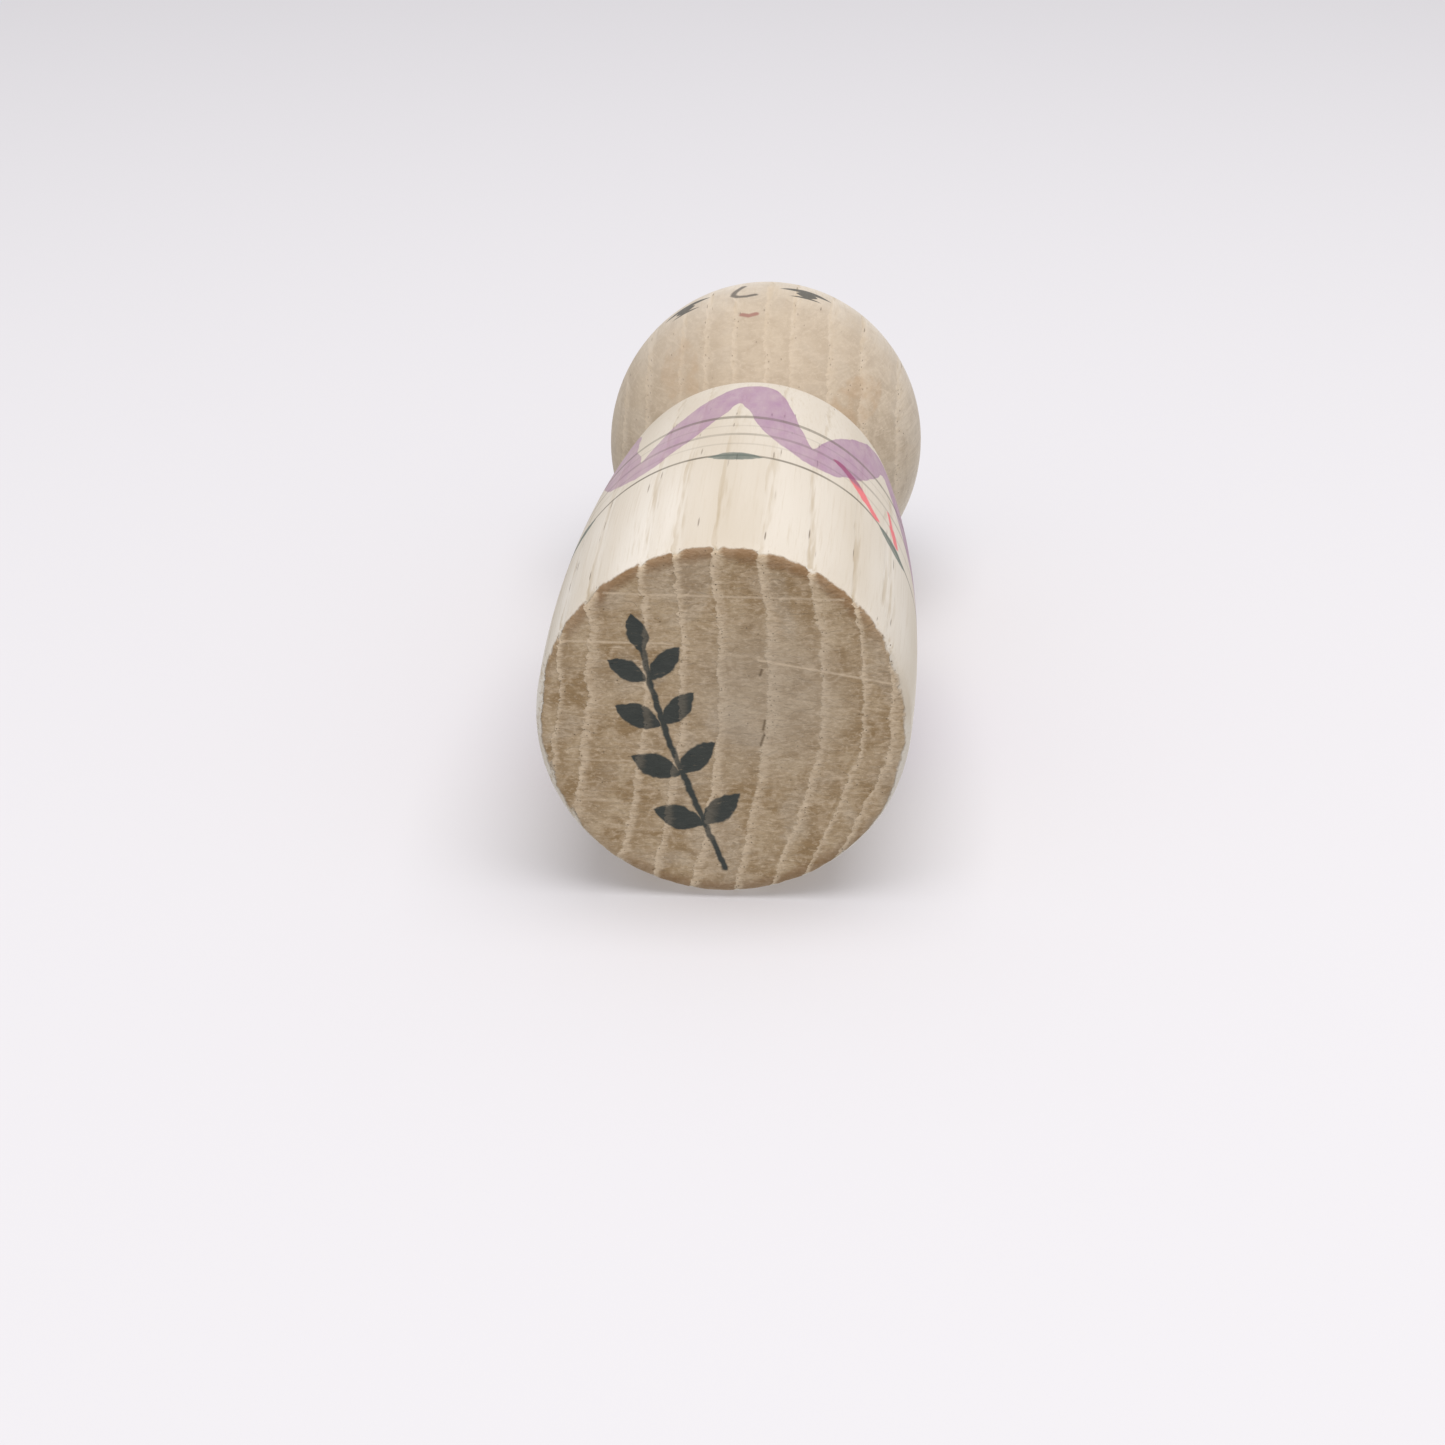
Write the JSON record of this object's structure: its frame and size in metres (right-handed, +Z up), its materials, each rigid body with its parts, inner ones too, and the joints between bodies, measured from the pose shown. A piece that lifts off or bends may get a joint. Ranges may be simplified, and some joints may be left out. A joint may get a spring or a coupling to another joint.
{
  "type": "kokeshi doll",
  "caption": "Turned wooden doll with a slim barrel body and an oval head that turns on a neck dowel, painted with thin lathe lines, a purple wave band and a small calm face.",
  "frame": {"origin": "centre of the flat foot, on the surface that the doll stands on", "axes": "+Z up along the turning axis from foot to crown, the face looks along -Y, +X is the doll's own left"},
  "size_m": [0.0412, 0.0412, 0.1213],
  "materials": {
    "body_wood": "turned pale ring-porous wood, sanded and lightly waxed, with thin water-based paint",
    "head_wood": "turned pale ring-porous wood, sanded and lightly waxed, with a painted face and hair",
    "dowel_wood": "bare turned hardwood"
  },
  "bodies": {
    "body": {"body": "body_wood"},
    "head": {"head": "head_wood", "neck_dowel": "dowel_wood"}
  },
  "joints": [
    {"name": "head_turn", "type": "hinge", "parent": "body", "child": "head", "pos_m": [0, 0, 0.0737], "axis": [0, 0, 1], "continuous": true}
  ]
}
